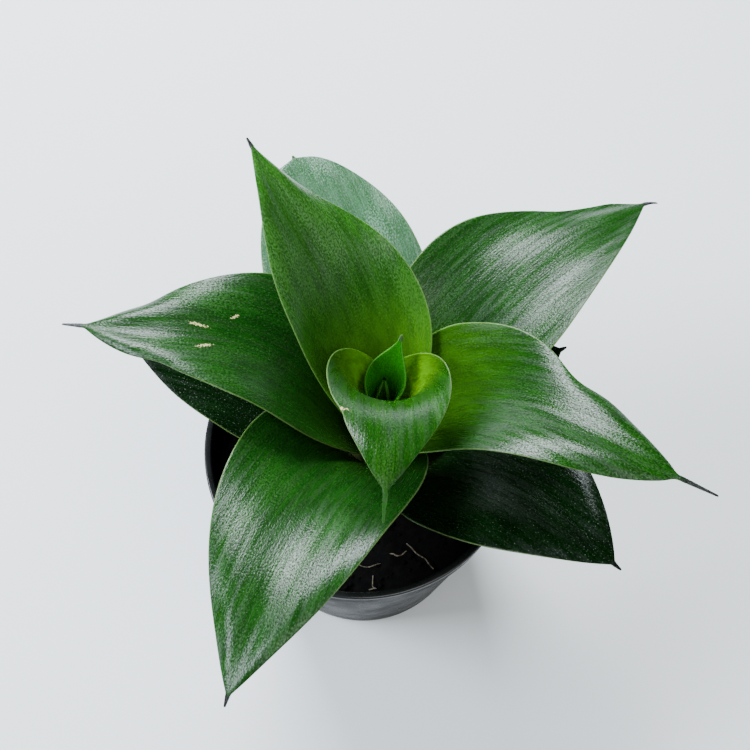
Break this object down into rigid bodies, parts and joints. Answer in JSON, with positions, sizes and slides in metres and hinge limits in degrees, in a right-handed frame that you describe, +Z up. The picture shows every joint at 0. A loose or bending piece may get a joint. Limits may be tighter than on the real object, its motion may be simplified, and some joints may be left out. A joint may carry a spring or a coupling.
{
  "type": "potted snake plant",
  "caption": "Compact rosette snake plant with broad pointed leaves growing from a short stem in soil, in a tapered round nursery pot with a rolled rim and drain holes.",
  "frame": {"origin": "centre of the pot's underside, on the surface that the pot stands on", "axes": "+Z up along the pot's axis; +X to the right and -Y to the front, where the long drooping front leaf points"},
  "size_m": [0.2152, 0.2149, 0.2135],
  "materials": {
    "pot_plastic": "black moulded polypropylene, glossy on the rim and wall",
    "soil": "damp dark peat potting soil with fine root threads",
    "stem": "pale green stem, hidden by the leaves' feet",
    "young_leaf": "waxy young leaf, yellow-green towards its foot",
    "grown_leaf": "waxy dark green leaf, finely mottled along its length, with a thin pale edge"
  },
  "bodies": {
    "root": {"nursery_pot": "pot_plastic", "potting_soil": "soil", "crown": "stem", "leaf_01": "young_leaf", "leaf_02": "young_leaf", "leaf_03": "young_leaf", "leaf_04": "young_leaf", "leaf_05": "grown_leaf", "leaf_06": "grown_leaf", "leaf_07": "grown_leaf", "leaf_08": "grown_leaf", "leaf_09": "grown_leaf", "leaf_10": "grown_leaf", "leaf_11": "grown_leaf"}
  },
  "joints": []
}
